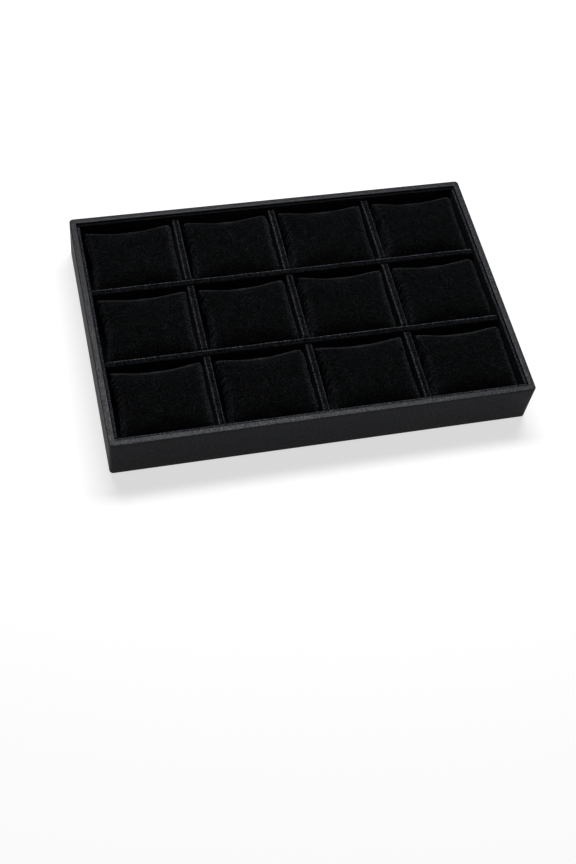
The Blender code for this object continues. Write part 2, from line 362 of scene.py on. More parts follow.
def short_pile_velvet(name, colour, sheen, opened_and_sheen_colour=None):
    """Short-pile velvet: a very dark cloth that lights up where the pile is seen from the side.

    The nap lies in slightly different directions, which gives soft mottling some 9 mm across.
    Where the cloth is bent over an edge, an attribute paints it paler: partly opened pile, partly
    a painted sheen of the light catching the edge. The tufts of about 0.2 mm are too fine for the
    render, so they are drawn as clumps of 1.1 mm.
    """
    material, tree, shader, coordinates = new_finish(name)
    clumps = add_node(
        tree,
        "ShaderNodeTexNoise",
        {"Vector": coordinates, "Scale": 1 / (1.1 * MM), "Detail": 3.0, "Roughness": 0.65},
    )
    nap = add_node(
        tree,
        "ShaderNodeTexNoise",
        {"Vector": coordinates, "Scale": 1 / (9 * MM), "Detail": 2.0, "Distortion": 0.6},
    )
    mottling = add_node(
        tree,
        "ShaderNodeMapRange",
        {
            "Value": nap.outputs["Fac"],
            "From Min": 0.3,
            "From Max": 0.7,
            "To Min": 0.8,
            "To Max": 1.25,
        },
    )
    speckle = add_node(
        tree,
        "ShaderNodeMapRange",
        {
            "Value": clumps.outputs["Fac"],
            "From Min": 0.45,
            "From Max": 0.7,
            "To Min": 0.2,
            "To Max": 3.4,
        },
    )
    strength = add_node(
        tree,
        "ShaderNodeMath",
        {0: mottling.outputs["Result"], 1: speckle.outputs["Result"]},
        operation="MULTIPLY",
    )
    cloth = colour[:3]
    # Paler colour along bends: partly opened pile, partly painted sheen
    if opened_and_sheen_colour:
        fold = add_node(tree, "ShaderNodeAttribute", attribute_name=OPENED_PILE_SHEEN_ATTRIBUTE)
        opened_and_sheen = add_node(
            tree,
            "ShaderNodeMix",
            {0: fold.outputs["Fac"], 6: colour, 7: opened_and_sheen_colour},
            data_type="RGBA",
        )
        cloth = opened_and_sheen.outputs[2]
    shaded = add_node(
        tree,
        "ShaderNodeVectorMath",
        {0: cloth, "Scale": strength.outputs["Value"]},
        operation="SCALE",
    )
    bump = add_node(
        tree,
        "ShaderNodeBump",
        {"Height": clumps.outputs["Fac"], "Strength": 0.6, "Distance": 0.25 * MM},
    )
    tree.links.new(shaded.outputs[0], shader.inputs["Base Color"])
    tree.links.new(bump.outputs["Normal"], shader.inputs["Normal"])
    shader.inputs["Roughness"].default_value = 1.0
    shader.inputs["Specular IOR Level"].default_value = 0.02
    shader.inputs["Sheen Weight"].default_value = sheen
    shader.inputs["Sheen Roughness"].default_value = 0.3
    shader.inputs["Sheen Tint"].default_value = (0.88, 0.95, 1.0, 1.0)
    return material


def piece_velvet(finishes, piece, sheen):
    """The velvet of the linings, dividers or pillows, in its own colour and with edges painted
    paler, as opened pile and painted sheen.
    """
    colour = tuple(getattr(finishes, f"{piece}_colour"))
    return short_pile_velvet(f"{piece} velvet", colour, sheen, tuple(finishes.opened_pile_and_sheen_colour))


def pressed_felt(name, colour):
    """Pressed felt: matt and fuzzy, with fibres that clump about every 1.5 mm."""
    material, tree, shader, coordinates = new_finish(name)
    fibres = add_node(
        tree,
        "ShaderNodeTexNoise",
        {"Vector": coordinates, "Scale": 1 / (1.5 * MM), "Detail": 5.0, "Roughness": 0.7},
    )
    tone = add_node(
        tree,
        "ShaderNodeMapRange",
        {
            "Value": fibres.outputs["Fac"],
            "From Min": 0.3,
            "From Max": 0.7,
            "To Min": 0.6,
            "To Max": 1.5,
        },
    )
    shaded = add_node(
        tree,
        "ShaderNodeVectorMath",
        {0: colour[:3], "Scale": tone.outputs["Result"]},
        operation="SCALE",
    )
    bump = add_node(
        tree,
        "ShaderNodeBump",
        {"Height": fibres.outputs["Fac"], "Strength": 0.7, "Distance": 0.3 * MM},
    )
    tree.links.new(shaded.outputs[0], shader.inputs["Base Color"])
    tree.links.new(bump.outputs["Normal"], shader.inputs["Normal"])
    shader.inputs["Roughness"].default_value = 0.95
    shader.inputs["Sheen Weight"].default_value = 0.2
    return material


def sawn_fibreboard(name, colour):
    """Medium-density fibreboard: pale brown and matt, with short darker fibres lying along X.

    The fibres are drawn some 3 mm long and 0.8 mm thick, coarser than the real ones.
    """
    material, tree, shader, coordinates = new_finish(name)
    stretched = add_node(
        tree, "ShaderNodeMapping", {"Vector": coordinates, "Scale": (300.0, 1200.0, 1200.0)}
    )
    fibres = add_node(
        tree, "ShaderNodeTexNoise", {"Vector": stretched.outputs[0], "Scale": 1.0, "Detail": 4.0}
    )
    tone = add_node(
        tree,
        "ShaderNodeMapRange",
        {
            "Value": fibres.outputs["Fac"],
            "From Min": 0.3,
            "From Max": 0.7,
            "To Min": 0.75,
            "To Max": 1.15,
        },
    )
    shaded = add_node(
        tree,
        "ShaderNodeVectorMath",
        {0: colour[:3], "Scale": tone.outputs["Result"]},
        operation="SCALE",
    )
    tree.links.new(shaded.outputs[0], shader.inputs["Base Color"])
    shader.inputs["Roughness"].default_value = 0.85
    return material


# Leatherette wrap


def rounded_path(corners, radii):
    """A path through corners rounded by arcs, with points between the arcs at an even spacing.

    An arc's points are its centre less the way on times the radius and the turn's cosine, and
    less the way back times the radius and the turn's sine.
    """
    corners = np.array(corners, float)
    pieces = [corners[:1]]
    for before, here, after, radius in zip(corners, corners[1:], corners[2:], radii):
        back = (before - here) / np.linalg.norm(before - here)
        on = (after - here) / np.linalg.norm(after - here)
        centre = here + (back + on) * radius
        turn = np.linspace(0, math.pi / 2, FOLD_STEPS + 1)[:, None]
        arc = centre - on * radius * np.cos(turn) - back * radius * np.sin(turn)
        last = pieces[-1][-1]
        count = max(int(np.linalg.norm(arc[0] - last) / POINT_SPACING), 1)
        share = np.linspace(0, 1, count + 1)[1:-1, None]
        pieces += [last + (arc[0] - last) * share, arc]
    last = pieces[-1][-1]
    count = max(int(np.linalg.norm(corners[-1] - last) / POINT_SPACING), 1)
    share = np.linspace(0, 1, count + 1)[1:, None]
    pieces.append(last + (corners[-1] - last) * share)
    return np.concatenate(pieces)


def ring_around(half_x, half_y):
    """Points round a rounded rectangle, as places on its core and outward directions.

    A point of the ring is its place on the core, which runs from -1 to 1 along X and Y, times
    the core's half sizes, plus its direction times the corner radius.
    """
    core = []
    out = []
    for quarter in range(4):
        facing = np.array([math.cos(quarter * math.pi / 2), math.sin(quarter * math.pi / 2)])
        along = np.array([-facing[1], facing[0]])
        length = 2 * (half_y if quarter % 2 == 0 else half_x)
        share = np.linspace(-1, 1, int(length / POINT_SPACING))[1:-1, None]
        core.append(facing + along * share)
        out.append(np.repeat(facing[None], len(share), axis=0))
        turn = np.linspace(0, math.pi / 2, CORNER_STEPS + 1)[:, None]
        core.append(np.repeat((facing + along)[None], len(turn), axis=0))
        out.append(facing * np.cos(turn) + along * np.sin(turn))
    return np.concatenate(core), np.concatenate(out)


def make_leatherette_wrap(material, sizes):
    """One folded sheet: its closed section is carried round the tray's rounded outline.

    The section's face goes in under the base, up the outside, over the rim and down inside,
    and its back follows the same path one sheet thickness deeper. The outside is a little
    uneven, as glued leatherette is: a slow wave, deepest at half height, sets it in.
    """
    low, high = box_of("leatherette_wrap")
    cover_low, _ = box_of("base_cover")
    wall_low, _ = box_of("left_wall")
    lining_low, _ = box_of("left_lining")
    sheet = wall_low[0] - low[0] - GAP
    turn_in = cover_low[0] - low[0] - GAP
    lip = lining_low[0] - low[0] - GAP

    # Underneath, at the rim's outer edge and at its inner edge, which is folded more tightly
    folds = np.array([1.0, 1.0, 0.7]) * sizes.fold_radius
    tightest_fold = 0.15 * MM
    tightest_corner = 0.4 * MM
    face = rounded_path(
        [
            (turn_in, low[2]),
            (0, low[2]),
            (0, high[2]),
            (lip, high[2]),
            (lip, high[2] - sizes.lip_depth),
        ],
        folds,
    )
    back = rounded_path(
        [
            (turn_in, low[2] + sheet),
            (sheet, low[2] + sheet),
            (sheet, high[2] - sheet),
            (lip - sheet, high[2] - sheet),
            (lip - sheet, high[2] - sizes.lip_depth),
        ],
        np.maximum(folds - sheet, tightest_fold),
    )
    section = np.concatenate([face, back[::-1]])
    is_face = np.concatenate([np.ones(len(face)), np.zeros(len(back))])

    half = (high - low)[:2] / 2
    core, out = ring_around(*half)
    inset, height = section[:, :1, None], section[:, 1:, None]
    radius = np.maximum(sizes.corner_radius - inset, tightest_corner)
    flat = core[None] * (half - inset - radius) + out[None] * radius
    points = np.concatenate([flat, np.broadcast_to(height, (*flat.shape[:2], 1))], axis=-1)

    # The longest wave fits ten times round the outline
    outline = 2 * (high - low)[:2].sum()
    around = np.arange(len(core)) / len(core)
    wave = slow_wave(around * outline, np.random.default_rng(4), outline / 10, WRAP_WAVE)
    belly = np.sin(np.pi * np.clip((section[:, 1] - low[2]) / (high[2] - low[2]), 0, 1))
    outside = is_face * (section[:, 0] < sizes.fold_radius)
    depth = (belly * outside)[:, None] * (WRAP_SET_IN + wave)
    points[..., :2] -= depth[..., None] * out

    faces = [group[:, ::-1] for group in loft_faces(len(section), len(core), ends_closed=False)]
    wrap = mesh_piece("leatherette_skin", points.reshape(-1, 3), faces, material)
    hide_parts("leatherette_wrap")


# Linings and dividers


def strip_section():
    """The section of a covered board: up one side, over two soft edges and down the other.

    Each point has four numbers: how far up the side it is, its place across the flat part from
    -1 to 1, and the sideways and upward parts of its direction on the edges' arcs.
    """
    turn = np.linspace(0, math.pi / 2, EDGE_STEPS + 1)
    lift = np.concatenate([np.linspace(0, 1, SIDE_STEPS + 1)[:-1], np.ones(EDGE_STEPS + 1)])
    side = np.stack([lift, -np.ones_like(lift)], axis=1)
    out = np.concatenate([np.full(SIDE_STEPS, -1.0), -np.cos(turn)])
    up = np.concatenate([np.zeros(SIDE_STEPS), np.sin(turn)])
    left = np.column_stack([side, out, up])
    right = (left * [1, -1, -1, 1])[::-1]
    across = np.linspace(-1, 1, TOP_STEPS + 1)[1:-1]
    top = np.column_stack([np.ones_like(across), across, 0 * across, np.ones_like(across)])
    return np.concatenate([left, top, right])


def covered_strip(stations, top, bottom, half, radius, waves, openness_and_sheen):
    """A velvet-covered board along X, as points (station, point of the section, axis).

    At each station the section is stretched between the bottom and the top there. Its edges are
    arcs of the given radius, and the waves move its near face, far face and top a little. The
    edges are painted paler, as opened pile and painted sheen, most halfway round an arc, to the
    given share at the near and the far edge.
    """
    section = strip_section()
    lift, across, out, up = (section[:, i] for i in range(4))
    radius = np.minimum(radius, half)[:, None]
    half = half[:, None]
    y = across * (half - radius) + out * radius
    z = bottom[:, None] * (1 - lift) + (top[:, None] - radius) * lift + radius * up
    near, far, crest = waves
    y = y - near[:, None] * (out < 0) * lift + far[:, None] * (out > 0) * lift
    z = z + crest[:, None] * up
    x = np.broadcast_to(stations[:, None], y.shape)
    near_share, far_share = openness_and_sheen
    # Paler edges: opened pile and a painted sheen, largest where an edge faces the light
    opened_and_sheen = 2 * np.abs(out) * up * np.where(out < 0, near_share, far_share)
    return np.stack([x, y, z], axis=-1), np.broadcast_to(opened_and_sheen, y.shape)


def end_rounding(stations, length, radius):
    """How much of a quarter circle's height is missing at each station near a rounded end."""
    reach = np.clip((radius - (length / 2 - np.abs(stations))) / radius, 0, 1)
    return radius * (1 - np.sqrt(1 - reach**2))


def strip_stations(length, end_radius, special=()):
    """Stations along a strip, closer at its rounded ends and at the given places."""
    even = np.linspace(-length / 2, length / 2, int(length / POINT_SPACING) + 1)
    end = length / 2 - end_radius * (1 - np.sin(np.linspace(0, math.pi / 2, 7)))
    clear = even[np.abs(even) < length / 2 - end_radius]
    places = np.concatenate([clear, end, -end, np.asarray(special)])
    return np.unique(np.round(places, 7))


def put_strip(name, node, points, opened_and_sheen, turn, middle, material):
    """Closes a strip's ends, turns it about Z, puts it in its place and replaces the node."""
    cosine, sine = math.cos(turn), math.sin(turn)
    x = points[..., 0] * cosine - points[..., 1] * sine + middle[0]
    y = points[..., 0] * sine + points[..., 1] * cosine + middle[1]
    placed = np.stack([x, y, points[..., 2]], axis=-1)
    faces = loft_faces(placed.shape[0], placed.shape[1], ends_closed=True)
    piece = mesh_piece(
        name, placed.reshape(-1, 3), faces, material, {OPENED_PILE_SHEEN_ATTRIBUTE: opened_and_sheen.reshape(-1)}
    )
    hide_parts(node)


def make_linings(material):
    """Four velvet-covered panels inside the leatherette, each with a soft top edge."""
    draw = np.random.default_rng(11)
    turns = {"front": 0.0, "back": math.pi, "left": -math.pi / 2, "right": math.pi / 2}
    for side, turn in turns.items():
        low, high = box_of(f"{side}_lining")
        size = high - low
        length, thickness = max(size[0], size[1]), min(size[0], size[1])
        stations = strip_stations(length, LINING_END_RADIUS)
        rounding = end_rounding(stations, length, LINING_END_RADIUS)
        still = np.zeros_like(stations)
        far = slow_wave(stations, draw, 0.09, BOARD_WAVE)
        crest = slow_wave(stations, draw, 0.05, BOARD_WAVE) - BOARD_WAVE
        points, opened_and_sheen = covered_strip(
            stations,
            high[2] - rounding,
            np.full_like(stations, low[2]),
            np.full_like(stations, thickness / 2),
            np.full_like(stations, LINING_EDGE_RADIUS),
            (still, far, crest),
            (0, 0),
        )
        # The whole top is painted paler by each side's share: opened pile and painted sheen, none
        # at the back, which lies in the rim's shade
        opened_and_sheen = opened_and_sheen + LINING_OPENNESS_AND_SHEEN[side] * strip_section()[:, 3]
        middle = (low + high) / 2
        name, node = f"{side}_velvet_lining", f"{side}_lining"
        put_strip(name, node, points, opened_and_sheen, turn, middle, material)


def make_dividers(material):
    """Two long dividers, whole along their tops, and three short ones dropped over them.

    Both are covered strips. A long one's bottom and a short one's top jump to half height at each
    crossing, and a short one's top bends down to its slot in a quarter circle.
    """
    draw = np.random.default_rng(23)
    columns = [box_of(f"column_divider_{number}") for number in range(1, COLUMNS)]
    rows = [box_of(f"row_divider_{number}") for number in range(1, len(ROW_NAMES))]
    column_middles = [(low[0] + high[0]) / 2 for low, high in columns]
    row_middles = [(low[1] + high[1]) / 2 for low, high in rows]
    bottom, top = rows[0][0][2], rows[0][1][2]
    thickness = rows[0][1][1] - rows[0][0][1]
    slot_half = thickness / 2 + GAP
    sill = (bottom + top) / 2

    # Radius of the bend into a slot, and how far a slot's side leans, as a station has one height
    mouth = 2.2 * MM
    slope = 0.05 * MM

    def strip(name, length, crossings, cut_at_top, turn, middle, openness_and_sheen):
        """One divider, cut to half height from above or below where it meets the others."""
        steps = mouth * (1 - np.cos(np.linspace(0, math.pi / 2, 6)))
        near = np.concatenate([slot_half + steps, [slot_half - slope], [slot_half]])
        special = np.concatenate([[at - near, at + near] for at in crossings]).ravel()
        stations = strip_stations(length, DIVIDER_END_RADIUS, special)
        away = np.min(np.abs(stations[:, None] - np.array(crossings)[None]), axis=1)
        in_slot = away < slot_half - slope / 2
        highest = top - end_rounding(stations, length, DIVIDER_END_RADIUS)
        lowest = np.full_like(stations, bottom)
        if cut_at_top:
            bend = np.clip((slot_half + mouth - away) / mouth, 0, 1)
            highest = highest - mouth * (1 - np.sqrt(1 - bend**2))
            highest = np.where(in_slot, sill - GAP / 2, highest)
        else:
            lowest = np.where(in_slot, sill + GAP / 2, lowest)
        waves = (
            slow_wave(stations, draw, 0.07, BOARD_WAVE),
            slow_wave(stations, draw, 0.08, BOARD_WAVE),
            slow_wave(stations, draw, 0.045, CREST_WAVE) - CREST_WAVE,
        )
        calm = smooth_step(away, slot_half, slot_half + 6 * MM)
        waves = [wave * calm for wave in waves[:2]] + [waves[2] * (1 - in_slot)]
        points, opened_and_sheen = covered_strip(
            stations,
            highest,
            lowest,
            np.full_like(stations, thickness / 2),
            np.full_like(stations, DIVIDER_EDGE_RADIUS),
            waves,
            openness_and_sheen,
        )
        put_strip(
            f"{name}_velvet", name, points, opened_and_sheen, turn, middle, material
        )

    for number, (low, high) in enumerate(rows, start=1):
        name, length, middle = f"row_divider_{number}", high[0] - low[0], (low + high) / 2
        strip(name, length, column_middles, False, 0.0, middle, ROW_OPENNESS_AND_SHEEN)
    for number, (low, high) in enumerate(columns, start=1):
        name, length, middle = f"column_divider_{number}", high[1] - low[1], (low + high) / 2
        strip(name, length, row_middles, True, math.pi / 2, middle, COLUMN_OPENNESS_AND_SHEEN)


# Pillows


def even_steps(count, power, half_width, half_height):
    """Places from -1 to 1 that are evenly spaced along the upper half of a rounded section.

    The section's height at a place is 1 less the place to the power, all to the power of 1 over
    the roundness, times the half height.
    """
    fine = np.sin(np.linspace(-math.pi / 2, math.pi / 2, 4001))
    height = (1 - np.abs(fine) ** power) ** (1 / PILLOW_ROUNDNESS) * half_height
    length = np.hypot(np.diff(fine * half_width), np.diff(height))
    travelled = np.concatenate([[0], np.cumsum(length)])
    return np.interp(np.linspace(0, travelled[-1], count), travelled, fine)


def pillow_sheets(size, left_pull, right_pull, end_pull, softness):
    """The top and bottom sheets of a plump pillow, as two grids of points above its underside.

    Both sheets share an outline at seam height, which is drawn in between the corners by a
    parabola, and its corners are rounded off by the given share. Along each direction the
    fullness is 1 in the middle and 0 at the outline. The two meet as a soft minimum, so that the
    corners stay full, and its root gives the height of the dome.
    """
    length, depth, height = size
    across = even_steps(SHEET_ACROSS, ACROSS_POWER, length / 2, height / 2)
    along = even_steps(SHEET_ALONG, ALONG_POWER, depth / 2, height / 2)
    u, v = np.meshgrid(across, along, indexing="ij")
    pull = np.where(u < 0, left_pull, right_pull)
    corner = 1 - softness * (np.abs(u) * np.abs(v)) ** 8
    x = u * (length / 2 - pull * (1 - v**2)) * corner
    y = v * (depth / 2 - end_pull * (1 - u**2)) * corner
    full_across = np.clip(1 - np.abs(u) ** ACROSS_POWER, 1e-9, 1) ** -MEETING
    full_along = np.clip(1 - np.abs(v) ** ALONG_POWER, 1e-9, 1) ** -MEETING
    full = (full_across + full_along - 1) ** (-1 / MEETING / PILLOW_ROUNDNESS)
    full = np.where((np.abs(u) > 0.99999) | (np.abs(v) > 0.99999), 0, full)
    seam = SEAM_SHARE * height
    top = seam + full * (height - seam) + LEAN * v
    bottom = seam * (1 - full) + LEAN * v * (1 - full)
    return u, v, np.stack([x, y, top], axis=-1), np.stack([x, y, bottom], axis=-1)


def outward(points, sign):
    """The cross product of a grid's steps across and along, made one unit long."""
    across = np.gradient(points, axis=0)
    along = np.gradient(points, axis=1)
    square = np.cross(across, along) * sign
    return square / np.maximum(np.linalg.norm(square, axis=-1, keepdims=True), 1e-12)


def gather(u, v, points, sign, draw, count, full_depth):
    """Draws in the sheet along short valleys that start at the left and right seams.

    A valley follows a slanting line in from the seam. Square to the line it falls off as a bell
    curve, and along the line it fades out at its reach. Those in the middle reach furthest, and
    all fade out towards the corners.
    """
    depth = np.zeros_like(u)
    off_corners = 1 - smooth_step(np.abs(v), 0.9, 1.0)
    for side in (-1, 1):
        away = 1 - side * u
        starts = np.linspace(-GATHER_STRETCH, GATHER_STRETCH, count)
        starts = starts + draw.uniform(-GATHER_SHIFT, GATHER_SHIFT, count)
        for start in starts:
            slant = draw.uniform(*GATHER_SLANT)
            reach = draw.uniform(*GATHER_REACH) * (1.1 - start**2 * 0.6)
            width = draw.uniform(*GATHER_WIDTH)
            valley_painted_shade = np.exp(-(np.abs((v - start - slant * away) / width) ** 1.6))
            fade = 1 - smooth_step(away, 0.0, reach)
            depth += draw.uniform(*GATHER_SHARE) * valley_painted_shade * fade * off_corners
    return points - outward(points, sign) * (full_depth * depth)[..., None]


def pillow_faces(rows, columns):
    """Faces of two sheets that share their outline, the second one facing down."""
    top = np.arange(rows * columns).reshape(rows, columns)
    bottom = top.copy()
    inner = (rows - 2) * (columns - 2)
    bottom[1:-1, 1:-1] = rows * columns + np.arange(inner).reshape(rows - 2, columns - 2)
    return [quads_of(top), quads_of(bottom)[:, ::-1]]


def stuff(points, faces, pinned):
    """Stuffs a pillow: its cloth is blown up by a cloth simulation while its end seams are held.

    The dome swells, and since the cloth hardly stretches, it draws in the middles of the front
    and back edges and puts a small fold there. The simulation runs ten times larger than life,
    where its settings behave, and no point moves further than the cap.
    """
    mesh = bpy.data.meshes.new("stuffing")
    mesh.from_pydata((points * SIMULATION_SCALE).tolist(), [], np.concatenate(faces).tolist())
    obj = bpy.data.objects.new("stuffing", mesh)
    bpy.context.scene.collection.objects.link(obj)
    seam = obj.vertex_groups.new(name="seam")
    seam.add(np.flatnonzero(pinned).tolist(), 1.0, "REPLACE")
    cloth = obj.modifiers.new("cloth", "CLOTH")
    for label, value in CLOTH_SETTINGS.items():
        setattr(cloth.settings, label, value)
    cloth.settings.effector_weights.gravity = 0
    cloth.point_cache.frame_start = 1
    cloth.point_cache.frame_end = SIMULATION_FRAMES
    for number in range(1, SIMULATION_FRAMES + 1):
        bpy.context.scene.frame_set(number)
    shown = obj.evaluated_get(bpy.context.evaluated_depsgraph_get())
    moved = np.empty(len(points) * 3, np.float32)
    shown.data.vertices.foreach_get("co", moved)
    bpy.data.objects.remove(obj)
    bpy.data.meshes.remove(mesh)
    bpy.context.scene.frame_set(1)
    step = moved.reshape(-1, 3) / SIMULATION_SCALE - points
    distance = np.linalg.norm(step, axis=1, keepdims=True)
    return points + step * np.minimum(1, SIMULATION_CAP / np.maximum(distance, 1e-9))


def pillow_variant(draw, size, sizes):
    """Points, faces and paler edges, opened pile and painted sheen, of one stuffed pillow about its
    middle, before it has a place.
    """
    pulls = np.array([sizes.left_pull, sizes.right_pull, sizes.end_pull])
    pulls = pulls + draw.uniform(-PULL_SPREAD, PULL_SPREAD, 3)
    u, v, top, bottom = pillow_sheets(size, *pulls, draw.uniform(*CORNER_SOFTNESS))
    top = gather(u, v, top, 1, draw, sizes.gathers, sizes.gather_depth)
    bottom = gather(u, v, bottom, -1, draw, sizes.gathers, sizes.gather_depth)
    faces = pillow_faces(*u.shape)
    points = np.concatenate([top.reshape(-1, 3), bottom[1:-1, 1:-1].reshape(-1, 3)])
    across = np.concatenate([u.ravel(), u[1:-1, 1:-1].ravel()])
    points = stuff(points, faces, np.abs(across) > 0.9999)
    # Paler edges: opened pile and a painted sheen along the back and side seams, strongest at the
    # back where the light catches it
    opened_and_sheen = np.zeros_like(u)
    for side, place in {"back": v, "right": u, "left": -u}.items():
        most, start = PILLOW_OPENNESS_AND_SHEEN[side]
        opened_and_sheen = np.maximum(opened_and_sheen, most * smooth_step(place, start, PILLOW_OPENNESS_AND_SHEEN_FULL))
    opened_and_sheen = np.concatenate([opened_and_sheen.ravel(), 0 * opened_and_sheen[1:-1, 1:-1].ravel()])
    return points, faces, opened_and_sheen


def make_pillow(name, node, variant, draw, material):
    """Turns a pillow a little, lays it where its solid lies and rounds its mesh by one level."""
    points, faces, opened_and_sheen = variant
    low, high = box_of(node)
    turn = math.radians(draw.uniform(-TURN_SPREAD, TURN_SPREAD))
    turned = points @ np.array(Matrix.Rotation(-turn, 3, "Z"))
    middle = (low + high) / 2
    placed = turned + [middle[0] + PILLOW_SHIFT, middle[1], low[2] - points[:, 2].min()]
    piece = mesh_piece(name, placed, faces, material, {OPENED_PILE_SHEEN_ATTRIBUTE: opened_and_sheen})
    smoother = piece.modifiers.new("finer cloth", "SUBSURF")
    smoother.levels = smoother.render_levels = 1
    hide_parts(node)


def make_pillows(material, sizes):
    """One stuffed pillow for each cell, from a few variants that never lie side by side."""
    low, high = box_of("pillow_front_1")
    size = high - low + PILLOW_EXTRA
    variants = [pillow_variant(np.random.default_rng(seed), size, sizes) for seed in PILLOW_SEEDS]
    draw = np.random.default_rng(7)
    for row, row_name in enumerate(ROW_NAMES):
        for column in range(1, COLUMNS + 1):
            node = f"pillow_{row_name}_{column}"
            variant = variants[(row * 2 + column) % len(variants)]
            make_pillow(f"velvet_{node}", node, variant, draw, material)


# Studio


def background_rays(tree):
    """1 for the rays that show the white background: the camera's, and those in gloss and glass."""
    rays = add_node(tree, "ShaderNodeLightPath").outputs
    inside = add_node(
        tree,
        "ShaderNodeMath",
        {0: rays["Is Glossy Ray"], 1: rays["Is Transmission Ray"]},
        operation="MAXIMUM",
    )
    both = add_node(
        tree,
        "ShaderNodeMath",
        {0: rays["Is Camera Ray"], 1: inside.outputs[0]},
        operation="MAXIMUM",
    )
    return both.outputs[0]


def make_floor():
    """A pale sheet under the tray, which shows white in the picture and keeps the tray's shadow."""
    material, tree, shader, _ = new_finish("white paper sweep")
    shader.inputs["Base Color"].default_value = (FLOOR_GREY, FLOOR_GREY, FLOOR_GREY, 1.0)
    shader.inputs["Roughness"].default_value = 0.9
    shader.inputs["Specular IOR Level"].default_value = 0.1
    strength = add_node(
        tree, "ShaderNodeMath", {0: background_rays(tree), 1: FLOOR_GLOW}, operation="MULTIPLY"
    )
    white = add_node(
        tree,
        "ShaderNodeEmission",
        {"Color": (1.0, 1.0, 1.0, 1.0), "Strength": strength.outputs[0]},
    )
    both = add_node(
        tree, "ShaderNodeAddShader", {0: shader.outputs["BSDF"], 1: white.outputs["Emission"]}
    )
    output = [node for node in tree.nodes if node.type == "OUTPUT_MATERIAL"][0]
    tree.links.new(both.outputs[0], output.inputs["Surface"])
    signs = [(-1, -1), (1, -1), (1, 1), (-1, 1)]
    points = [(x * FLOOR_SIZE / 2, y * FLOOR_SIZE / 2, -0.05 * MM) for x, y in signs]
    mesh = bpy.data.meshes.new("floor")
    mesh.from_pydata(points, [], [(0, 1, 2, 3)])
    mesh.materials.append(material)
    floor = bpy.data.objects.new("floor", mesh)
    bpy.context.scene.collection.objects.link(floor)


def add_softbox(name, direction, distance, size, power, aim):
    """A rectangular area lamp that shines at the aim from a direction and distance."""
    lamp = bpy.data.lights.new(name, "AREA")
    lamp.shape = "RECTANGLE"
    lamp.size, lamp.size_y = size
    lamp.energy = power
    obj = bpy.data.objects.new(name, lamp)
    toward = Vector(direction).normalized()
    obj.location = Vector(aim) + toward * distance
    obj.rotation_euler = toward.to_track_quat("Z", "Y").to_euler()
    bpy.context.scene.collection.objects.link(obj)


def make_world(strength):
    """A dim even light all round, which the camera and reflections see as white."""
    world = bpy.data.worlds.new("studio")
    world.use_nodes = True
    tree = world.node_tree
    tree.nodes.clear()
    fill = add_node(
        tree, "ShaderNodeBackground", {"Color": (1.0, 1.0, 1.0, 1.0), "Strength": strength}
    )
    white = add_node(
        tree, "ShaderNodeBackground", {"Color": (1.0, 1.0, 1.0, 1.0), "Strength": 1.0}
    )
    mixed = add_node(
        tree,
        "ShaderNodeMixShader",
        {
            0: background_rays(tree),
            1: fill.outputs["Background"],
            2: white.outputs["Background"],
        },
    )
    add_node(tree, "ShaderNodeOutputWorld", {"Surface": mixed.outputs[0]})
    bpy.context.scene.world = world


def make_camera(place, azimuth, elevation, roll, lens):
    """A camera at a place, looking along an azimuth and down by an elevation, then rolled."""
    sin_a, cos_a = math.sin(azimuth), math.cos(azimuth)
    sin_e, cos_e = math.sin(elevation), math.cos(elevation)
    forward = Vector((sin_a * cos_e, cos_a * cos_e, -sin_e))
    level_right = Vector((cos_a, -sin_a, 0.0))
    level_up = Vector((sin_a * sin_e, cos_a * sin_e, cos_e))
    right = math.cos(roll) * level_right + math.sin(roll) * level_up
    up = math.cos(roll) * level_up - math.sin(roll) * level_right
    data = bpy.data.cameras.new("photo camera")
    data.lens = lens
    data.sensor_width = 36.0
    data.clip_start = 0.01
    camera = bpy.data.objects.new("photo camera", data)
    rotation = Matrix((right, up, -forward)).transposed()
    camera.matrix_world = Matrix.Translation(place) @ rotation.to_4x4()
    bpy.context.scene.collection.objects.link(camera)
    bpy.context.scene.camera = camera


# Settings


class TraySizes(bpy.types.PropertyGroup):
    """Sizes of folds, pillows and gathers."""

    corner_radius: bpy.props.FloatProperty(
        name="Corner radius",
        description="Radius of the tray's upright corners",
        default=3.2 * MM,
        unit="LENGTH",
    )
    fold_radius: bpy.props.FloatProperty(
        name="Fold radius",
        description="Radius at which the leatherette is folded over the boards' edges",
        default=0.9 * MM,
        unit="LENGTH",
    )
    lip_depth: bpy.props.FloatProperty(
        name="Lip",
        description="How far the leatherette reaches down inside the rim",
        default=12.0 * MM,
        unit="LENGTH",
    )
    left_pull: bpy.props.FloatProperty(
        name="Left pull",
        description="How far the middle of a pillow's left seam is drawn in",
        default=4.6 * MM,
        unit="LENGTH",
    )
    right_pull: bpy.props.FloatProperty(
        name="Right pull",
        description="How far the middle of a pillow's right seam is drawn in",
        default=1.5 * MM,
        unit="LENGTH",
    )
    end_pull: bpy.props.FloatProperty(
        name="End pull",
        description="How far the middles of a pillow's front and back edges are drawn in",
        default=3.2 * MM,
        unit="LENGTH",
    )
    gathers: bpy.props.IntProperty(
        name="Gathers",
        description="Number of gathers along each end seam of a pillow",
        default=14,
        min=2,
    )
    gather_depth: bpy.props.FloatProperty(
        name="Gather depth",
        description="Depth of the deepest gathers",
        default=1.8 * MM,
        unit="LENGTH",
    )


